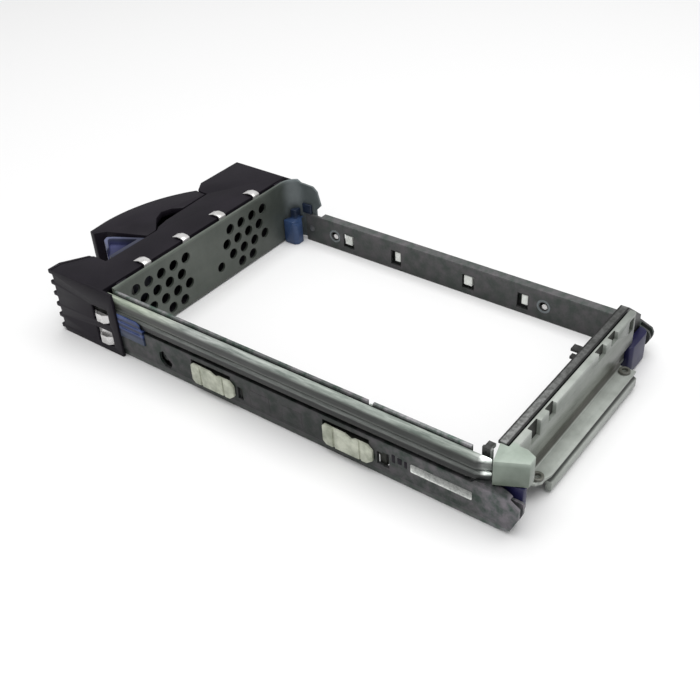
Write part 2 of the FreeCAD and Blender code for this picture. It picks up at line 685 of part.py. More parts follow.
frontRight = Piece("isolator_front_right")
clipFront = cheek + slack
clipRear = 15.5
frontRight.pad("YZ", wallIn - railSlope + 0.4, railOut + 0.6,
               rectangle(clipFront, clipRear, 10.0, lowerPipeFoot - slack))
frontRight.pad("YZ", railOut + 0.1, railOut + 0.6, [
    (clipFront, 10.0),
    (clipRear, 10.0),
    (clipRear - 0.8, 19.0),
    (clipRear - 2.6, lowerPipeTop - 0.5),
    (clipFront, lowerPipeTop - 0.5),
])
frontRight.cut("YZ", railOut + 0.3, railOut + 1, [
    rectangle(clipFront + 1.6, clipRear - 1.6, foot, foot + 0.8) for foot in (14.2, 16.8)])

rearLeft = Piece("isolator_rear_left")
rearLeftEnd = leftRailEnd - 0.3
rearLeft.pad("XY", 0.8, 12.5, [
    (guideLeft + 2.5, crossRear + slack),
    (guideLeft + 2.5, rearLeftEnd - 1.0),
    (guideLeft + 1.0, rearLeftEnd),
    (-bayHalf + slack + 3.4, rearLeftEnd, 3.4, "left"),
    (-bayHalf + slack, rearLeftEnd - 3.4),
    (-bayHalf + slack, crossRear + slack),
])

rearRight = Piece("isolator_rear_right")
rearRight.pad("YZ", bayHalf - 2.8, bayHalf - slack, [
    (crossRear + slack, 1.0),
    (railEnd - 4.4, 1.0),
    (railEnd - 2.0, 3.6),
    (railEnd - 1.0, 8.6),
    (railEnd - 1.0, capFoot - slack),
    (crossRear + slack, capFoot - slack),
])


# Outlines at the front are laid out from the handle's pivot, from its right end or from the centre
def fromPivot(across, ahead):
    return (across - pivotX, -pivotY - ahead)


def fromGrip(across, ahead):
    return (gripEnd + across, -recess - ahead)


def fromCentre(across, ahead):
    return (across, -recess - ahead)


# Bezel: a shell moulding, open at the rear and between its two blocks
bezel = Piece("front_bezel")
bezel.pad("XY", 0, bezelTop, [
    (bezelHalf, cheek),
    (cavityRight, cheek),
    (cavityRight, -bezelRear),
    (-bezelHalf + 2, -bezelRear),
    (-bezelHalf + 2, cheek),
    (-bezelHalf, cheek),
    (-bezelHalf, -bezelFront),
    (10.6 - pivotX, -bezelFront),
    fromPivot(16.0, 4.3) + (blockRadius, "left"),
    fromPivot(16.5, -1.5),
    fromCentre(-7.4, 3.3),
    fromCentre(4.0, 2.9),
    fromCentre(10.0, 1.7),
    fromCentre(12.6, 0),
    (blockIn, -recess),
    (blockIn, 6.2 - bezelFront),
    (noseIn, -bezelFront - 0.2),
    (bezelHalf, -bezelFront - 0.2),
])
for step in range(6):
    ribMiddle = ribFirst + step * ribPitch
    bezel.pad("XY", ribMiddle - ribWidth / 2, ribMiddle + ribWidth / 2, [
        (bezelHalf, 0.5 - bezelFront),
        (bezelHalf, -bezelFront - ribDepth - 0.2),
        (noseIn - 0.6, -bezelFront - ribDepth - 0.2),
        (blockIn + 0.4, 6.0 - bezelFront - ribDepth),
        (blockIn + 0.4, 6.8 - bezelFront),
    ])
bezel.pocket("XZ", -bezelFront - 5, cheek + 1, [
    (cornerAcross - bezelHalf, bezelTop),
    (-bezelHalf - 1, bezelTop - cornerDrop),
    (-bezelHalf - 1, bezelTop + 1),
    (cornerAcross - bezelHalf, bezelTop + 1),
])
bezel.pocket("XY", bezelWall, bezelTop - bezelWall, [
    (cavityRight, cheek + 1),
    (cavityLeft, cheek + 1),
    (cavityLeft, 2.2 - bezelFront),
    (-9.5 - pivotX, 2.2 - bezelFront),
    (-9.5 - pivotX, -bezelFront - 3),
    (18.5 - pivotX, -bezelFront - 3),
    (18.5 - pivotX, wallRear),
    (blockIn + 2.2, wallRear),
    (blockIn + 2.2, 7.4 - bezelFront),
    (noseIn + 0.6, 2 - bezelFront),
    (cavityRight, 2 - bezelFront),
])
# The claw's slot in the left wall
bezel.pocket("YZ", -bezelHalf - 1, cavityLeft + 1,
             rectangle(-pivotY - 5.2, 13.5 - pivotY, clawFoot - 0.4, clawTop + 0.4))
# Air slots in the wall behind the handle
bezel.cut("XZ", -recess - 4, wallRear + 1, [
    rectangle(-16 + 4 * step, -14 + 4 * step, 5, 23) for step in range(8)])
# The window for the latch's tail
bezel.pocket("XZ", -recess - 1, wallRear + 1,
             rectangle(gripEnd - 0.8, tailEnd + 1.4, tailFoot - 0.4, tailTop + 0.4))
# Windows for the lenses of the light pipes
bezel.cut("XZ", -bezelFront - 4, 3 - bezelFront, [
    rectangle(pipeIn - 0.2, pipeOut + 0.1, upperPipeFoot - 0.2, upperPipeTop + 0.2),
    rectangle(pipeIn - 0.2, pipeOut + 0.1, lowerPipeFoot - 0.2, lowerPipeTop + 0.2),
])
# The spring's seat and the posts that hold the plate
bezel.pad("XY", bezelWall, bezelTop - bezelWall, rectangle(seatX, seatX + 1.4, wallRear, 8.5 - recess))
postHalf = 2.5
for across in (postHalf - bezelHalf + 7.8, 4.0, bezelHalf - 7.8 - postHalf):
    bezel.pad("XY", 0.6, 6.0, rectangle(across - postHalf, across + postHalf, -6, -steel))
for across in (postHalf - bezelHalf + 7.8, bezelHalf - 7.8 - postHalf):
    bezel.pad("XY", 22.5, bezelTop - 0.8, rectangle(across - postHalf, across + postHalf, -6, -steel))
# Windows for the side contact fingers
fingerFeet = [fingerWindowFoot + step * fingerWindowPitch for step in (0, 1)]
bezel.cut("YZ", cavityRight - 0.5, bezelHalf + 1, [
    rectangle(-10.4, -1.8, foot, foot + fingerWindowHeight) for foot in fingerFeet])
# The blind bore for the handle's pin, from below through the floor and into the roof
bezel.cut("XY", pinFoot, bezelTop - 1.0, circles=[(-pivotX, -pivotY, pinRadius + pivotSlack)])

# Handle pin
pin = doc.addObject("Part::Cylinder", "handle_pin")
pin.Label = "handle_pin"
bind(pin, "Radius", pinRadius)
bind(pin, "Height", bezelTop - 1.2 - pinFoot)
bind(pin, "Placement.Base.x", -pivotX)
bind(pin, "Placement.Base.y", -pivotY)
bind(pin, "Placement.Base.z", pinFoot + 0.1)

# Handle: a hollow grip outside the bezel, a flat root inside it and a claw at the left
handle = Piece("handle")
handle.pad("XY", handleFoot, handleTop, [
    fromPivot(16.34, 4.6),
    fromPivot(16.34, 5.0) + (handleArc, "left"),
    fromGrip(-5.5, 24.2),
    fromGrip(3.5, 23.5),
    fromGrip(4.0, 20.7),
    fromGrip(0, 17.5),
    fromGrip(-6.7, 0.6),
    fromCentre(12.2, 0.8),
    fromCentre(9.9, 3.0),
    fromCentre(5.0, 7.8),
    fromCentre(0.2, 9.9),
    fromCentre(-4.3, 8.2),
    fromCentre(-7.2, 4.4),
    fromPivot(16.9, -0.8) + (blockRadius + runningGap, "right"),
])
handle.pocket("XY", handleFoot + handlePlate, handleTop - handlePlate, [
    fromPivot(23.0, -6.0),
    fromPivot(23.0, 5.0),
    fromPivot(30.0, 9.2),
    fromPivot(39.0, 13.0),
    fromCentre(10, 20.5),
    fromGrip(-6.0, 21.1),
    fromGrip(-1.8, 20.7),
    fromGrip(-3.4, 16.1),
    fromGrip(-8.8, 2.5),
    fromGrip(-8.8, -0.5),
])
rootFoot = bezelWall + slack
rootTop = bezelTop - bezelWall - slack
handle.pad("XY", rootFoot, rootTop, [
    fromPivot(17.0, 5.6),
    fromPivot(16.1, 5.0),
    fromPivot(10.6, 7.4),
    fromPivot(-4.5, 7.4),
    fromPivot(-5.5, 4.0),
    fromPivot(-5.0, -4.8),
    fromPivot(5.0, -4.8),
    fromPivot(16.6, -2.8),
    fromPivot(18.0, -0.7),
    fromPivot(21.0, -0.7),
    fromPivot(21.0, 5.8),
])
handle.pad("XY", clawFoot, clawTop, [
    fromPivot(-4.6, -3.4),
    fromPivot(-13.5, -0.4),
    fromPivot(-16.5, -1.8),
    fromPivot(-19.7, -1.4),
    fromPivot(-19.5, 2.4),
    fromPivot(-14.0, 4.0),
    fromPivot(-4.6, 3.5),
])
handle.cut("XY", rootFoot - 1, rootTop + 1, circles=[(-pivotX, -pivotY, pinRadius + pivotSlack)])

# Release latch with its dished top and its tail behind the wall
latch = Piece("release_latch")
latch.pad("XY", latchFoot, latchTop, [
    fromGrip(-6.0, 0.6),
    fromGrip(12.2, 0.6),
    fromGrip(11.6, 4.7),
    fromGrip(7.8, 9.1),
    fromGrip(4.6, 14.1),
    fromGrip(2.2, 15.1),
    fromGrip(0.4, 12.7),
    fromGrip(-4.3, 3.7),
])
latch.pocket("XY", latchTop - latchDish, latchTop + 1, [
    fromGrip(-3.1, 3.0),
    fromGrip(13.0, 3.0),
    fromGrip(13.0, 5.0),
    fromGrip(7.2, 8.3),
    fromGrip(3.8, 12.6),
    fromGrip(2.5, 13.2),
    fromGrip(1.6, 11.9),
])
latch.pad("XY", tailFoot, tailTop, [
    fromGrip(0, 1.0),
    fromGrip(0, -7.1),
    fromGrip(11.0, -7.1),
    fromGrip(11.0, -2.7),
    fromGrip(9.0, -2.7),
    fromGrip(9.0, 1.0),
])
latch.pad("XY", tailFoot - 1.6, tailTop + 1.6, [
    fromGrip(0, -2.7),
    fromGrip(0, -4.3),
    fromGrip(11.0, -4.3),
    fromGrip(11.0, -2.7),
])

# Latch spring: a zigzag leaf between the tail and its seat in the bezel
leafSpring = Piece("latch_spring")
leafBend = 2.2 * springLeaf
leafTurns = []
for step in range(5):
    turnX = springStart + leafBend if step % 2 == 0 else springEnd - leafBend
    leafTurns.append((turnX, tailRear - 4.2 + step * springRise))
leafOutline = [(turnX + leafBend, turnY) for turnX, turnY in leafTurns]
leafOutline += [(turnX - leafBend, turnY) for turnX, turnY in reversed(leafTurns)]
leafSpring.pad("XY", tailFoot + 2.6, tailTop - 2.6, leafOutline)

# Contact fingers over the rear edge of the bezel's roof
topFingers = Piece("emi_fingers_top")
stripTop = bezelTop - bezelWall - 0.1
topFingers.pad("YZ", -fingerFirst - fingerWidth, fingerPitch * 3 - fingerFirst + fingerWidth,
               rectangle(-bezelRear - 6, 0.6 - bezelRear, stripTop - fingerGauge, stripTop))
for step in range(4):
    middle = fingerPitch * step - fingerFirst
    topFingers.pad("YZ", middle - fingerWidth / 2, middle + fingerWidth / 2, [
        (-bezelRear - 0.2, stripTop),
        (0.4 - bezelRear, stripTop + 0.1),
        (0.7 - bezelRear, stripTop + 0.1),
        (0.7 - bezelRear, bezelTop + 0.2),
        (-bezelRear - 0.1, bezelTop + 0.6),
        (-bezelRear - 2.3, bezelTop + 0.7),
        (-bezelRear - 4.2, bezelTop + 0.1),
        (-bezelRear - 5.2, bezelTop + 0.1),
        (-bezelRear - 2.4, bezelTop + 1.1),
        (0.1 - bezelRear, bezelTop + 1.0),
        (1.2 - bezelRear, bezelTop + 0.4),
        (1.2 - bezelRear, stripTop + 0.1),
        (0.8 - bezelRear, stripTop - fingerGauge),
        (-bezelRear - 0.2, stripTop - fingerGauge),
    ])

# Contact fingers through the bezel's right wall
sideFingers = Piece("emi_fingers_side")
sideFingers.pad("YZ", cavityRight - 0.35, cavityRight - 0.05,
                rectangle(-11, -1.6, fingerWindowFoot - 0.6, lowerPipeFoot - slack))
for foot in fingerFeet:
    sideFingers.pad("XY", foot + 0.2, foot + 3.8, [
        (cavityRight - 0.1, -10.2),
        (bezelHalf + 0.6, -8.2),
        (bezelHalf + 0.6, -4.6),
        (cavityRight - 0.1, -2.2),
        (cavityRight - 0.1, -3.2),
        (bezelHalf + 0.2, -5.0),
        (bezelHalf + 0.2, -7.8),
        (cavityRight - 0.1, -9.2),
    ])

doc.recompute()

nodes = [item for item in doc.Objects if item.TypeId == "PartDesign::Body"]
nodes += [pin, rivets]
for item in doc.Objects:
    if "Invalid" in item.State or "Error" in item.State:
        raise ValueError(f"{item.Name} has failed")
for node in nodes:
    if node.Shape.isNull() or not node.Shape.isValid():
        raise ValueError(f"{node.Label} has no valid shape")
os.makedirs("parts", exist_ok=True)
for node in nodes:
    node.Shape.exportStep(f"parts/{node.Label}.step")
    print(node.Label, len(node.Shape.Solids), round(node.Shape.Volume / 1000, 2))
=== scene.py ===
# Looks of the hot swap drive caddy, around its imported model
import math
import bpy
from mathutils import Matrix, Vector


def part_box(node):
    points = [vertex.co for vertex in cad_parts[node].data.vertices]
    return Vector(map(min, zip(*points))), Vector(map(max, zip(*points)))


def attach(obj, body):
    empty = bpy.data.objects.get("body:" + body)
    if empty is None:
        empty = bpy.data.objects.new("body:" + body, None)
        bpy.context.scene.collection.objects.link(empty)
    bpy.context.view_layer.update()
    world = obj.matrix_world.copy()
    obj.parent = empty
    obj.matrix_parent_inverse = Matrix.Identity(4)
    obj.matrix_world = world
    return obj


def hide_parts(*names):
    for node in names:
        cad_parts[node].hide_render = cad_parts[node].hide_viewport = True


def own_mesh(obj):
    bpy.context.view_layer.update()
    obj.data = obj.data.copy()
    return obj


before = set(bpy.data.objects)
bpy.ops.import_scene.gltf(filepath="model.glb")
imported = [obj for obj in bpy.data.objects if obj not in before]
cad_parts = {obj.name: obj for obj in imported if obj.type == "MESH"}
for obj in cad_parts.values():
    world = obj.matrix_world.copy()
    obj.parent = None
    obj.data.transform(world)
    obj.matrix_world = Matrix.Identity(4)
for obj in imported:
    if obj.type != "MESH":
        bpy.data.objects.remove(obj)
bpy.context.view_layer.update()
mm = 0.001
quarterTurn = math.radians(90)


# The camera, as solved from the photograph, in millimetres, degrees and pixels
cameraSettings = {
    "place": (247.8, 268.8, 232.0),
    "azimuth": 128.905,
    "elevation": 36.663,
    "roll": -3.668,
    "focalPixels": 1018.93,
    "imagePixels": 700,
    "sensor": 36.0,
    "nearest": 10.0,
}


def makeCamera(settings):
    turn = math.radians(settings["azimuth"])
    down = math.radians(settings["elevation"])
    roll = math.radians(settings["roll"])
    ahead = Vector((-math.sin(turn) * math.cos(down), math.cos(turn) * math.cos(down), -math.sin(down)))
    right = ahead.cross(Vector((0, 0, 1))).normalized()
    up = right.cross(ahead)
    rolledRight = math.cos(roll) * right + math.sin(roll) * up
    rolledUp = math.cos(roll) * up - math.sin(roll) * right
    data = bpy.data.cameras.new("photoCamera")
    data.sensor_width = settings["sensor"]
    data.lens = settings["focalPixels"] * settings["sensor"] / settings["imagePixels"]
    data.clip_start = settings["nearest"] * mm
    camera = bpy.data.objects.new("photoCamera", data)
    bpy.context.collection.objects.link(camera)
    axes = Matrix((rolledRight, rolledUp, -ahead)).transposed().to_4x4()
    camera.matrix_world = Matrix.Translation(Vector(settings["place"]) * mm) @ axes
    bpy.context.scene.camera = camera


# Floor, light from all round and two soft boxes, in metres and watts
stageSettings = {
    "floorSize": 6.0,
    "floorColour": (0.84, 0.84, 0.84, 1.0),
    "floorRough": 0.9,
    "skyColour": (1.0, 1.0, 1.0, 1.0),
    "skyStrength": 0.47,
    "aim": (0.0, 0.07, 0.0),
    "boxes": {
        "overheadBox": {"place": (0.0, 0.16, 1.0), "size": 1.1, "power": 11.0},
        "sideBox": {"place": (0.90, 0.25, 0.55), "size": 0.5, "power": 0.4},
    },
}


def makeStage(settings):
    bpy.ops.mesh.primitive_plane_add(size=settings["floorSize"], location=(0, 0, 0))
    floor = bpy.context.active_object
    floor.name = "floor"
    paint = bpy.data.materials.new("floorPaint")
    paint.use_nodes = True
    shader = paint.node_tree.nodes["Principled BSDF"]
    shader.inputs["Base Color"].default_value = settings["floorColour"]
    shader.inputs["Roughness"].default_value = settings["floorRough"]
    floor.data.materials.append(paint)
    world = bpy.data.worlds.new("studio")
    bpy.context.scene.world = world
    world.use_nodes = True
    sky = world.node_tree.nodes["Background"]
    sky.inputs["Color"].default_value = settings["skyColour"]
    sky.inputs["Strength"].default_value = settings["skyStrength"]
    for name, box in settings["boxes"].items():
        data = bpy.data.lights.new(name, "AREA")
        data.size = box["size"]
        data.energy = box["power"]
        light = bpy.data.objects.new(name, data)
        bpy.context.collection.objects.link(light)
        light.location = box["place"]
        aim = Vector(settings["aim"]) - Vector(box["place"])
        light.rotation_euler = aim.to_track_quat("-Z", "Y").to_euler()


# Finishes: two tints mottled by a noise, uneven gloss, and grain in the bump.
# streaks draws the mottling out along the tray. bands multiplies the tints along an axis
# of the frame, by one level or by a colour at each place in millimetres; most bands are painted
# light and shade.
finishSettings = {
    "bezelBlack": {
        "tints": ((0.0065, 0.0050, 0.0085), (0.0125, 0.0100, 0.0150)),
        "rough": 0.52, "spread": 0.10, "gloss": 0.16, "metal": 0.0,
        "mottle": 45, "grain": 2600, "bump": 0.16,
    },
    "handleBlack": {
        "tints": ((0.0065, 0.0048, 0.0085), (0.0120, 0.0095, 0.0145)),
        "rough": 0.48, "spread": 0.10, "gloss": 0.18, "metal": 0.0,
        "mottle": 60, "grain": 2600, "bump": 0.14,
    },
    "plateSteel": {
        "tints": ((0.050, 0.060, 0.049), (0.096, 0.108, 0.094)),
        "rough": 0.42, "spread": 0.12, "gloss": 0.5, "metal": 0.25,
        "mottle": 28, "grain": 1500, "bump": 0.05,
        # bands: a painted highlight along the plate's top rim, and painted light brightening both ends,
        # most at the far end
        "bands": {
            "Z": ((1.0, 0.95), (6.0, 1.0), (13.0, 1.0), (27.2, 1.05), (27.8, 1.45), (28.4, 1.6)),
            "X": ((-53.2, (1.8, 1.8, 2.2)), (-48.0, (1.5, 1.5, 1.8)), (-44.5, (0.95, 0.95, 1.02)),
                  (-30.0, (0.92, 0.90, 0.92)), (0.0, 1.0), (40.0, 1.05), (53.2, 1.3)),
        },
    },
    "leftRailGrey": {
        "tints": ((0.032, 0.041, 0.036), (0.072, 0.067, 0.071)),
        "rough": 0.45, "spread": 0.10, "gloss": 0.35, "metal": 0.15,
        "mottle": 230, "grain": 2200, "bump": 0.08,
        # bands: a painted highlight along the rail's top edge and painted shade just above its foot
        "bands": {
            "Z": ((0.0, 1.0), (1.2, 0.8), (2.2, 0.85), (9.8, 1.15), (12.6, 1.3), (13.2, 1.9)),
        },
    },
    "rightRailGrey": {
        "tints": ((0.012, 0.021, 0.016), (0.064, 0.060, 0.064)),
        "rough": 0.44, "spread": 0.12, "gloss": 0.30, "metal": 0.15,
        "mottle": 240, "grain": 2200, "bump": 0.06,
        # bands: painted highlights on the bottom edge and the top lip, painted shade on the wall under the
        # light pipes, and painted light growing towards the rear end and nose
        "bands": {
            "Z": ((0.0, 2.2), (0.6, 1.5), (1.9, (1.0, 1.2, 1.05)), (2.5, 0.85), (3.4, 0.82),
                  (14.8, 1.15), (15.4, 0.75), (16.4, 0.55), (24.0, 0.5), (25.8, 1.1),
                  (26.5, 3.4), (27.0, 3.8)),
            "Y": ((0.0, 1.3), (22.0, 1.15), (40.0, 0.85), (112.0, 0.75), (130.0, 1.45),
                  (158.0, 1.7), (163.0, (2.75, 2.65, 2.8)), (172.0, (2.75, 2.65, 2.8))),
        },
    },
    "crossGrey": {
        "tints": ((0.048, 0.050, 0.047), (0.120, 0.122, 0.120)),
        "rough": 0.42, "spread": 0.12, "gloss": 0.4, "metal": 0.15,
        "mottle": 800, "grain": 2200, "bump": 0.08,
        # bands: painted shade as dark lines along both edges of the flange, and painted light brightening
        # both of its ends
        "bands": {
            "Y": ((155.0, 0.5), (160.4, 0.16), (160.7, 1.0), (162.6, 1.0), (162.9, 0.10),
                  (163.4, 0.10)),
            "X": ((-51.2, 2.2), (-40.0, 1.5), (-36.0, 0.75), (0.0, 1.1), (30.0, 2.0), (51.2, 2.4)),
        },
    },
    "pipeUpper": {
        "tints": ((0.066, 0.074, 0.069), (0.158, 0.166, 0.158)),
        "rough": 0.36, "spread": 0.12, "gloss": 0.35, "metal": 0.0,
        "mottle": 90, "grain": 900, "bump": 0.05, "streaks": 9,
        # bands: a painted highlight on the pipe's top and painted shade down its side, a painted glint on
        # its slanted rear end, and a green tint at the front that is partly its own colour
        "bands": {
            "Z": ((21.2, 0.80), (21.8, 0.62), (22.3, 0.26), (24.0, 0.30), (24.7, 1.3),
                  (25.3, 2.7), (26.0, 3.0)),
            "Y": ((-5.0, (1.0, 1.05, 0.9)), (12.0, (1.05, 1.1, 0.95)), (40.0, 1.0),
                  (100.0, (0.90, 0.94, 0.90)), (156.0, (0.74, 0.78, 0.74)), (158.6, 1.0),
                  (159.8, 5.0), (162.2, 6.0)),
        },
    },
    "pipeLower": {
        "tints": ((0.066, 0.074, 0.069), (0.158, 0.166, 0.158)),
        "rough": 0.36, "spread": 0.12, "gloss": 0.30, "metal": 0.0,
        "mottle": 90, "grain": 900, "bump": 0.04, "streaks": 12,
        # bands: painted shade along the pipe's underside, a painted highlight on its ridge, and a painted
        # glint on its slanted rear end
        "bands": {
            "Z": ((16.9, 0.04), (18.2, 0.08), (19.0, 0.18), (19.5, 1.25), (20.1, 1.6), (20.5, 1.3)),
            "Y": ((-5.0, 1.0), (120.0, 0.9), (157.0, 0.7), (159.2, 1.0), (160.2, 7.0), (162.2, 8.0)),
        },
    },
    "padWhite": {
        "tints": ((0.30, 0.32, 0.25), (0.58, 0.60, 0.50)),
        "rough": 0.50, "spread": 0.10, "gloss": 0.4, "metal": 0.0,
        "mottle": 180, "grain": 2400, "bump": 0.08,
    },
    # a lighter copy of the pad white for the left pads' inner arms: painted light
    "padInnerLit": {
        "tints": ((0.62, 0.64, 0.60), (0.86, 0.88, 0.84)),
        "rough": 0.45, "spread": 0.10, "gloss": 0.5, "metal": 0.0,
        "mottle": 260, "grain": 2400, "bump": 0.06,
    },
    "guideGrey": {
        "tints": ((0.24, 0.26, 0.235), (0.38, 0.405, 0.375)),
        "rough": 0.32, "spread": 0.10, "gloss": 0.5, "metal": 0.0,
        "mottle": 60, "grain": 2000, "bump": 0.05,
        # bands: painted shade in the groove under the shelf and down the wall, painted light on the top,
        # darker towards the far end, and a greenish tint on the cap that is its own colour
        "bands": {
            "Z": ((0.8, 0.85), (5.0, 1.2), (5.3, 0.22), (6.7, 0.22), (7.1, 0.9), (8.0, 1.28),
                  (8.3, (0.26, 0.245, 0.225)), (9.4, (0.38, 0.36, 0.33)), (18.0, (0.58, 0.59, 0.56)),
                  (25.0, (0.66, 0.68, 0.66)), (26.2, 1.0), (26.8, 1.2)),
            "X": ((-38.5, 0.62), (0.0, 0.92), (36.0, 1.0), (43.0, 1.0), (44.0, (0.84, 0.92, 0.86)),
                  (54.2, (0.84, 0.92, 0.86))),
        },
    },
    "isolatorBlue": {
        "tints": ((0.020, 0.044, 0.110), (0.042, 0.074, 0.160)),
        "rough": 0.42, "spread": 0.12, "gloss": 0.35, "metal": 0.0,
        "mottle": 150, "grain": 2200, "bump": 0.08,
        "bands": {
            "Z": ((0.0, 1.0), (11.0, 1.1), (12.2, 0.40), (13.2, 0.22), (15.5, 0.25)),
        },
    },
    # bands: painted shade in the grooves and painted light on the ribs between them and on the lower patch
    "isolatorGrooveShade": {
        "tints": ((0.020, 0.036, 0.110), (0.044, 0.068, 0.175)),
        "rough": 0.40, "spread": 0.12, "gloss": 0.35, "metal": 0.0,
        "mottle": 150, "grain": 2200, "bump": 0.08,
        "bands": {
            "Z": ((10.0, (1.3, 1.1, 0.7)), (12.2, (1.3, 1.1, 0.7)), (12.7, 0.45), (13.3, 0.40),
                  (13.8, 1.2), (14.6, 1.25), (15.1, 0.35), (15.9, 0.35), (16.4, 1.25),
                  (17.1, 1.3), (17.6, 0.35), (18.2, 0.40), (18.7, 1.1), (20.0, 1.5)),
        },
    },
    # a darker copy of the isolator blue for the rear feet: painted shade, as they sit under the cap and
    # shelf
    "isolatorBlueShaded": {
        "tints": ((0.010, 0.010, 0.046), (0.018, 0.017, 0.068)),
        "rough": 0.40, "spread": 0.12, "gloss": 0.30, "metal": 0.0,
        "mottle": 150, "grain": 2200, "bump": 0.08,
    },
    "latchBlue": {
        "tints": ((0.058, 0.066, 0.115), (0.082, 0.090, 0.150)),
        "rough": 0.34, "spread": 0.10, "gloss": 0.30, "metal": 0.0,
        "mottle": 120, "grain": 2200, "bump": 0.04,
        # bands: a painted highlight on the rim, painted shade in the dish and further back under the
        # handle
        "bands": {
            "Z": ((2.5, 0.5), (24.0, (0.6, 0.6, 0.9)), (25.4, (0.7, 0.7, 1.0)), (26.8, 0.8),
                  (27.3, 1.15), (27.6, 1.4)),
            "Y": ((-32.6, 1.2), (-28.0, 0.9), (-22.0, 0.36), (-10.4, 0.26)),
        },
    },
    # the bright metal of the contact fingers; on the discs in the left rail's holes the same finish is a
    # painted highlight
    "contactMetalAndGlint": {
        "tints": ((0.60, 0.59, 0.58), (0.78, 0.77, 0.77)),
        "rough": 0.28, "spread": 0.10, "gloss": 0.5, "metal": 0.45,
        "mottle": 250, "grain": 2500, "bump": 0.03,
    },
    "slotShade": {
        "tints": ((0.018, 0.020, 0.017), (0.048, 0.050, 0.044)),
        "rough": 0.60, "spread": 0.10, "gloss": 0.2, "metal": 0.0,
        "mottle": 160, "grain": 2400, "bump": 0.06,
    },
    "pinSteel": {
        "tints": ((0.12, 0.12, 0.12), (0.22, 0.22, 0.22)),
        "rough": 0.38, "spread": 0.10, "gloss": 0.5, "metal": 0.9,
        "mottle": 250, "grain": 2500, "bump": 0.04,
    },
    "labelPaper": {
        "tints": ((0.27, 0.28, 0.27), (0.50, 0.51, 0.49)),
        "rough": 0.60, "spread": 0.08, "gloss": 0.3, "metal": 0.0,
        "mottle": 900, "grain": 3000, "bump": 0.05,
        "bands": {
            "Y": ((134.6, 1.45), (139.0, 1.1), (150.0, 0.9), (157.0, 1.0)),
            "Z": ((8.2, 1.9), (9.1, 1.25), (10.2, 0.75), (11.5, 0.65)),
        },
    },
}

# What every finish shares: the noises, the span of the first one over which the tints change,
# and the depth of the grain in millimetres
noiseSettings = {"detail": 6, "roughness": 0.62, "span": (0.36, 0.64), "grainDetail": 2, "grainDepth": 0.2}


def makeFinish(name, settings, noise):
    material = bpy.data.materials.new(name)
    material.use_nodes = True
    nodes = material.node_tree.nodes
    links = material.node_tree.links
    shader = nodes["Principled BSDF"]
    shader.inputs["Metallic"].default_value = settings["metal"]
    shader.inputs["Specular IOR Level"].default_value = settings["gloss"]
    place = nodes.new("ShaderNodeTexCoord")
    stretch = nodes.new("ShaderNodeMapping")
    streaks = settings.get("streaks", 1)
    stretch.inputs["Scale"].default_value = (streaks, 1, streaks)
    links.new(place.outputs["Object"], stretch.inputs["Vector"])
    mottle = nodes.new("ShaderNodeTexNoise")
    mottle.inputs["Scale"].default_value = settings["mottle"]
    mottle.inputs["Detail"].default_value = noise["detail"]
    mottle.inputs["Roughness"].default_value = noise["roughness"]
    links.new(stretch.outputs["Vector"], mottle.inputs["Vector"])
    tint = nodes.new("ShaderNodeValToRGB")
    for element, position, colour in zip(tint.color_ramp.elements, noise["span"], settings["tints"]):
        element.position = position
        element.color = (*colour, 1)
    links.new(mottle.outputs["Fac"], tint.inputs["Fac"])
    tinted = tint.outputs["Color"]
    for axis, stops in settings.get("bands", {}).items():
        tinted = layBand(nodes, links, place, tinted, axis, stops)
    links.new(tinted, shader.inputs["Base Color"])
    gloss = nodes.new("ShaderNodeMapRange")
    gloss.inputs["To Min"].default_value = settings["rough"] - settings["spread"]
    gloss.inputs["To Max"].default_value = settings["rough"] + settings["spread"]
    links.new(mottle.outputs["Fac"], gloss.inputs["Value"])
    links.new(gloss.outputs["Result"], shader.inputs["Roughness"])
    grain = nodes.new("ShaderNodeTexNoise")
    grain.inputs["Scale"].default_value = settings["grain"]
    grain.inputs["Detail"].default_value = noise["grainDetail"]
    links.new(place.outputs["Object"], grain.inputs["Vector"])
    relief = nodes.new("ShaderNodeBump")
    relief.inputs["Strength"].default_value = settings["bump"]
    relief.inputs["Distance"].default_value = noise["grainDepth"] * mm
    links.new(grain.outputs["Fac"], relief.inputs["Height"])
    links.new(relief.outputs["Normal"], shader.inputs["Normal"])
    return material


def layBand(nodes, links, place, colour, axis, stops):
    # a ramp along the axis holds each stop as a share of the strongest, which scales it back
    tints = [(level,) * 3 if isinstance(level, (int, float)) else level for _, level in stops]
    first, last = stops[0][0], stops[-1][0]
    most = max(max(tint) for tint in tints)
    parts = nodes.new("ShaderNodeSeparateXYZ")
    links.new(place.outputs["Object"], parts.inputs["Vector"])
    along = nodes.new("ShaderNodeMapRange")
    along.inputs["From Min"].default_value = first * mm
    along.inputs["From Max"].default_value = last * mm
    links.new(parts.outputs[axis], along.inputs["Value"])
    ramp = nodes.new("ShaderNodeValToRGB")
    elements = ramp.color_ramp.elements
    for (position, _), tint in zip(stops[1:-1], tints[1:-1]):
        element = elements.new((position - first) / (last - first))
        element.color = (*[part / most for part in tint], 1)
    elements[0].color = (*[part / most for part in tints[0]], 1)
    elements[-1].color = (*[part / most for part in tints[-1]], 1)
    links.new(along.outputs["Result"], ramp.inputs["Fac"])
    product = nodes.new("ShaderNodeVectorMath")
    product.operation = "MULTIPLY"
    links.new(colour, product.inputs[0])
    links.new(ramp.outputs["Color"], product.inputs[1])
    scaled = nodes.new("ShaderNodeVectorMath")
    scaled.operation = "SCALE"
    scaled.inputs["Scale"].default_value = most
    links.new(product.outputs["Vector"], scaled.inputs[0])
    return scaled.outputs["Vector"]


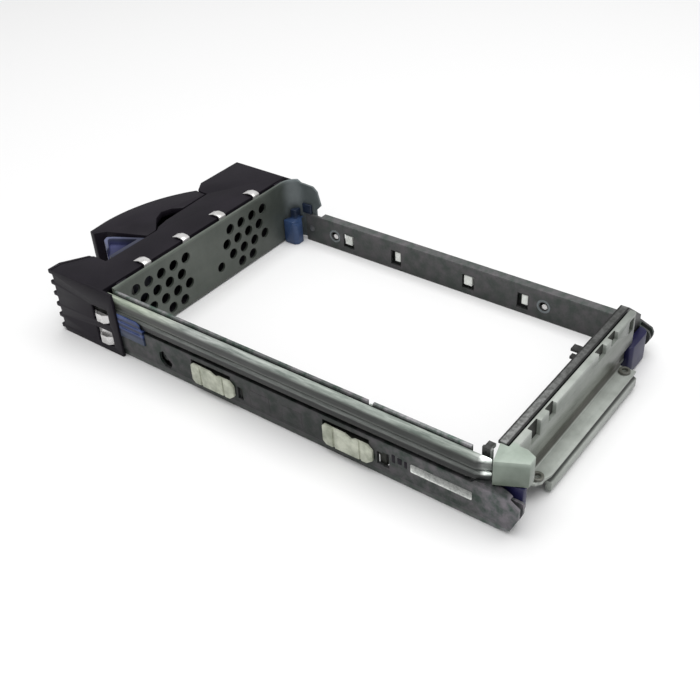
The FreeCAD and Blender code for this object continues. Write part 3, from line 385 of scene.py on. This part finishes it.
# Moulded and pressed pieces get rounded edges: a merged copy stands for each of these nodes
softPieces = {
    "bezelMoulding": {"node": "front_bezel", "body": "tray",
                      "finish": "bezelBlack", "slot": "bezel_black", "edge": 0.30},
    "handleMoulding": {"node": "handle", "body": "handle_body",
                       "finish": "handleBlack", "slot": "bezel_black", "edge": 0.35},
    "latchMoulding": {"node": "release_latch", "body": "latch_body",
                      "finish": "latchBlue", "slot": "latch_blue", "edge": 0.35},
    "guideMoulding": {"node": "rear_guide", "body": "tray",
                      "finish": "guideGrey", "slot": "guide_grey", "edge": 0.20},
    "upperPipeRod": {"node": "light_pipe_upper", "body": "tray",
                     "finish": "pipeUpper", "slot": "pipe_clear", "edge": 0.30},
    "lowerPipeRod": {"node": "light_pipe_lower", "body": "tray",
                     "finish": "pipeLower", "slot": "pipe_clear", "edge": 0.25},
    "frontLeftFoot": {"node": "isolator_front_left", "body": "tray",
                      "finish": "isolatorBlue", "slot": "isolator_blue", "edge": 0.45},
    "frontRightFoot": {"node": "isolator_front_right", "body": "tray",
                       "finish": "isolatorGrooveShade", "slot": "isolator_blue", "edge": 0.20},
    "rearLeftFoot": {"node": "isolator_rear_left", "body": "tray",
                     "finish": "isolatorBlueShaded", "slot": "isolator_blue", "edge": 0.45},
    "rearRightFoot": {"node": "isolator_rear_right", "body": "tray",
                      "finish": "isolatorBlueShaded", "slot": "isolator_blue", "edge": 0.45},
    "padLeftFront": {"node": "glide_pad_left_front", "body": "tray",
                     "finish": "padWhite", "slot": "pad_white", "edge": 0.22},
    "padLeftRear": {"node": "glide_pad_left_rear", "body": "tray",
                    "finish": "padWhite", "slot": "pad_white", "edge": 0.22},
    "padRightFront": {"node": "glide_pad_right_front", "body": "tray",
                      "finish": "padWhite", "slot": "pad_white", "edge": 0.22},
    "padRightRear": {"node": "glide_pad_right_rear", "body": "tray",
                     "finish": "padWhite", "slot": "pad_white", "edge": 0.22},
    "springLeaf": {"node": "latch_spring", "body": "tray",
                   "finish": "pinSteel", "slot": "pin_steel", "edge": 0.06},
    "roofFingers": {"node": "emi_fingers_top", "body": "tray",
                    "finish": "contactMetalAndGlint", "slot": "contact_metal", "edge": 0.12},
    "sideFingers": {"node": "emi_fingers_side", "body": "tray",
                    "finish": "contactMetalAndGlint", "slot": "contact_metal", "edge": 0.12},
}

# How such a copy is merged and rounded, in millimetres and degrees, and the angle below which
# the edges of every rounded piece are shaded smooth
mergeSettings = {"weld": 0.004, "flat": 1.5, "segments": 2, "sharp": 28}
smoothBelow = 32


def pickOnly(piece):
    bpy.ops.object.select_all(action="DESELECT")
    piece.select_set(True)
    bpy.context.view_layer.objects.active = piece


def roundEdges(piece, width, segments, sharp):
    pickOnly(piece)
    rounding = piece.modifiers.new("rounding", "BEVEL")
    rounding.width = width * mm
    rounding.segments = segments
    rounding.limit_method = "ANGLE"
    rounding.angle_limit = math.radians(sharp)
    rounding.use_clamp_overlap = False
    rounding.miter_outer = "MITER_ARC"
    bpy.ops.object.modifier_apply(modifier="rounding")
    bpy.ops.object.shade_smooth_by_angle(angle=math.radians(smoothBelow))


def softenNode(name, settings, merging, finishes):
    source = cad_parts[settings["node"]]
    piece = bpy.data.objects.new(name, source.data.copy())
    bpy.context.collection.objects.link(piece)
    pickOnly(piece)
    bpy.ops.mesh.customdata_custom_splitnormals_clear()
    bpy.ops.object.mode_set(mode="EDIT")
    bpy.ops.mesh.select_all(action="SELECT")
    bpy.ops.mesh.remove_doubles(threshold=merging["weld"] * mm)
    bpy.ops.mesh.dissolve_limited(angle_limit=math.radians(merging["flat"]))
    bpy.ops.object.mode_set(mode="OBJECT")
    roundEdges(piece, settings["edge"], merging["segments"], merging["sharp"])
    piece.data.materials.clear()
    piece.data.materials.append(finishes[settings["finish"]])
    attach(piece, settings["body"])
    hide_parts(settings["node"])
    return piece


# Faces with painted light and shade of their own: painted shade on the floors of the guide's slots and the
# inner arms of the right pads, painted light on the inner arms of the left pads. They are chosen by place,
# in millimetres from the low corner of the piece's node.
paintedLightAndShadeFaces = {
    "guideMoulding": {"finish": "slotShade", "from": (0.5, 3.4, 18.2), "to": (81.5, 4.4, 26.7)},
    "padRightFront": {"finish": "slotShade", "from": (-0.1, 8.65, -0.1), "to": (2.8, 29.1, 8.7)},
    "padRightRear": {"finish": "slotShade", "from": (-0.1, 8.65, -0.1), "to": (2.8, 29.1, 8.7)},
    "padLeftFront": {"finish": "padInnerLit", "from": (1.85, -0.1, -0.1), "to": (4.75, 29.1, 8.7)},
    "padLeftRear": {"finish": "padInnerLit", "from": (1.85, -0.1, -0.1), "to": (4.75, 29.1, 8.7)},
}


def paintFaceLightAndShade(piece, nodeName, settings, finishes):
    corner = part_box(nodeName)[0]
    low = corner + Vector(settings["from"]) * mm
    high = corner + Vector(settings["to"]) * mm
    piece.data.materials.append(finishes[settings["finish"]])
    added = len(piece.data.materials) - 1
    for face in piece.data.polygons:
        if all(low[axis] <= face.center[axis] <= high[axis] for axis in range(3)):
            face.material_index = added


def shortenSpring():
    piece = bpy.data.objects["springLeaf"]
    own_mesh(piece)


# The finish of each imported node, for those that stay in view
nodeFinishes = {
    "plateSteel": ["front_plate"],
    "leftRailGrey": ["left_rail"],
    "rightRailGrey": ["right_rail"],
    "crossGrey": ["rear_cross_member"],
    "pinSteel": ["handle_pin", "rivets"],
}


def dressNodes(finishes):
    for finishName, nodeNames in nodeFinishes.items():
        for nodeName in nodeNames:
            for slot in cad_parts[nodeName].material_slots:
                slot.material = finishes[finishName]


def settle(piece, body, finish):
    # the piece's place goes into its mesh
    pickOnly(piece)
    bpy.ops.object.transform_apply(location=True, rotation=True, scale=True)
    piece.data.materials.clear()
    piece.data.materials.append(finish)
    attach(piece, body)


# The bare label on the right rail's wall: millimetres along the rail and up it
labelSettings = {
    "along": (134.6, 157.0), "up": (8.2, 11.5), "thick": 0.16,
    "corner": 0.5, "cornerSegments": 4, "inset": 0.12, "tolerance": 0.001,
}


def makeLabel(settings, finish):
    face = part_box("right_rail")[1].x
    thick = settings["thick"] * mm
    front, rear = (place * mm for place in settings["along"])
    foot, top = (place * mm for place in settings["up"])
    bpy.ops.object.select_all(action="DESELECT")
    bpy.ops.mesh.primitive_cube_add(
        size=1, location=(face + thick / 2, (front + rear) / 2, (foot + top) / 2))
    label = bpy.context.active_object
    label.name = "bareLabel"
    label.scale = (thick, rear - front, top - foot)
    bpy.ops.object.transform_apply(location=False, rotation=False, scale=True)
    bpy.ops.object.mode_set(mode="EDIT")
    bpy.ops.mesh.select_mode(type="EDGE")
    bpy.ops.mesh.select_all(action="DESELECT")
    bpy.ops.object.mode_set(mode="OBJECT")
    for edge in label.data.edges:
        start, end = (label.data.vertices[index].co for index in edge.vertices)
        edge.select = (start - end).yz.length < settings["tolerance"] * mm
    bpy.ops.object.mode_set(mode="EDIT")
    bpy.ops.mesh.bevel(offset=settings["corner"] * mm, segments=settings["cornerSegments"])
    bpy.ops.mesh.select_mode(type="FACE")
    bpy.ops.mesh.select_all(action="DESELECT")
    bpy.ops.object.mode_set(mode="OBJECT")
    for polygon in label.data.polygons:
        polygon.select = round(polygon.normal.x) == 1
    bpy.ops.object.mode_set(mode="EDIT")
    bpy.ops.mesh.inset(thickness=settings["inset"] * mm, depth=0)
    bpy.ops.object.mode_set(mode="OBJECT")
    settle(label, "tray", finish)


# The drive screw holes have pressed rims on the inner faces of the rails, and a bright disc set
# in each hole of the left rail is a painted highlight. All in millimetres, in the shared frame.
holeSettings = {
    "along": (23.2, 124.8), "up": 6.35,
    "rim": {"radius": 2.5, "wire": 0.46, "flatten": 0.35, "segments": 40, "wireSegments": 10},
    "disc": {"radius": 1.2, "thick": 0.3, "shift": (-0.5, 0.3, -0.3), "segments": 36,
             "edge": 0.1, "edgeSegments": 2, "sharp": 40},
}


def makeHoleDetails(settings, rimFinish, discFinish):
    faces = {"Left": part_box("left_rail")[1].x, "Right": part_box("right_rail")[0].x}
    for side, face in faces.items():
        for index, along in enumerate(settings["along"], start=1):
            middle = Vector((face, along * mm, settings["up"] * mm))
            makeRim(f"holeRim{side}{index}", middle, settings["rim"], rimFinish)
            if side == "Left":
                makeGlint(f"holeGlint{index}", middle, settings["disc"], discFinish)


def makeRim(name, middle, settings, finish):
    bpy.ops.object.select_all(action="DESELECT")
    bpy.ops.mesh.primitive_torus_add(
        location=middle, rotation=(0, quarterTurn, 0),
        major_radius=settings["radius"] * mm, minor_radius=settings["wire"] * mm,
        major_segments=settings["segments"], minor_segments=settings["wireSegments"])
    rim = bpy.context.active_object
    rim.name = name
    rim.scale = (1, 1, settings["flatten"])
    bpy.ops.object.shade_smooth()
    settle(rim, "tray", finish)


# a small bright disc inside a hole: a painted highlight
def makeGlint(name, middle, settings, finish):
    bpy.ops.object.select_all(action="DESELECT")
    bpy.ops.mesh.primitive_cylinder_add(
        vertices=settings["segments"], radius=settings["radius"] * mm, depth=settings["thick"] * mm,
        location=middle + Vector(settings["shift"]) * mm, rotation=(0, quarterTurn, 0))
    disc = bpy.context.active_object
    disc.name = name
    roundEdges(disc, settings["edge"], settings["edgeSegments"], settings["sharp"])
    settle(disc, "tray", finish)


# Small raised blocks with rounded edges, in millimetres: across from the side of the node that
# each stands beside, and along and up from the node's low corner
blockSettings = {
    "frontLeftStub": {
        "beside": "isolator_front_left", "side": "left",
        "across": (-1.3, 0.0), "along": (5.5, 10.5), "up": (13.3, 17.8),
        "edge": 0.5, "slot": "isolator_blue", "finish": "isolatorBlue",
    },
    "pressedPanelA": {
        "beside": "right_rail", "side": "right",
        "across": (-0.1, 0.08), "along": (67.6, 76.0), "up": (5.2, 11.6),
        "edge": 0.07, "slot": "rail_grey", "finish": "rightRailGrey",
    },
    "pressedPanelB": {
        "beside": "right_rail", "side": "right",
        "across": (-0.1, 0.08), "along": (82.0, 90.4), "up": (5.2, 11.6),
        "edge": 0.07, "slot": "rail_grey", "finish": "rightRailGrey",
    },
    "pressedMarkA": {
        "beside": "right_rail", "side": "right",
        "across": (-0.1, 0.2), "along": (127.4, 128.6), "up": (8.8, 12.0),
        "edge": 0.14, "slot": "rail_grey", "finish": "bezelBlack",
    },
    "pressedMarkB": {
        "beside": "right_rail", "side": "right",
        "across": (-0.1, 0.2), "along": (129.6, 131.2), "up": (9.2, 11.6),
        "edge": 0.14, "slot": "rail_grey", "finish": "bezelBlack",
    },
    "pressedMarkC": {
        "beside": "right_rail", "side": "right",
        "across": (-0.1, 0.2), "along": (132.2, 133.2), "up": (8.8, 11.4),
        "edge": 0.14, "slot": "rail_grey", "finish": "bezelBlack",
    },
}
blockRounding = {"segments": 3, "sharp": 30}


def makeBlock(name, settings, rounding, finishes):
    nodeLow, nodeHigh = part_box(settings["beside"])
    side = nodeLow.x if settings["side"] == "left" else nodeHigh.x
    corner = Vector((side, nodeLow.y, nodeLow.z))
    spans = (settings["across"], settings["along"], settings["up"])
    low = corner + Vector([start for start, _ in spans]) * mm
    high = corner + Vector([end for _, end in spans]) * mm
    bpy.ops.object.select_all(action="DESELECT")
    bpy.ops.mesh.primitive_cube_add(size=1, location=(low + high) / 2)
    block = bpy.context.active_object
    block.name = name
    block.scale = high - low
    bpy.ops.object.transform_apply(location=False, rotation=False, scale=True)
    roundEdges(block, settings["edge"], rounding["segments"], rounding["sharp"])
    settle(block, "tray", finishes[settings["finish"]])


bpy.ops.object.select_all(action="DESELECT")
bpy.context.scene.view_settings.view_transform = "Standard"
makeCamera(cameraSettings)
makeStage(stageSettings)
print("camera and stage are in place")
finishes = {name: makeFinish(name, settings, noiseSettings) for name, settings in finishSettings.items()}
dressNodes(finishes)
print("packed nodes have their finishes")
for name, settings in softPieces.items():
    piece = softenNode(name, settings, mergeSettings, finishes)
    if name in paintedLightAndShadeFaces:
        paintFaceLightAndShade(piece, settings["node"], paintedLightAndShadeFaces[name], finishes)
    print(name, "has", len(piece.data.polygons), "faces")
shortenSpring()
makeLabel(labelSettings, finishes["labelPaper"])
makeHoleDetails(holeSettings, finishes["plateSteel"], finishes["contactMetalAndGlint"])
for name, settings in blockSettings.items():
    makeBlock(name, settings, blockRounding, finishes)
print("label, hole details and small blocks are on")
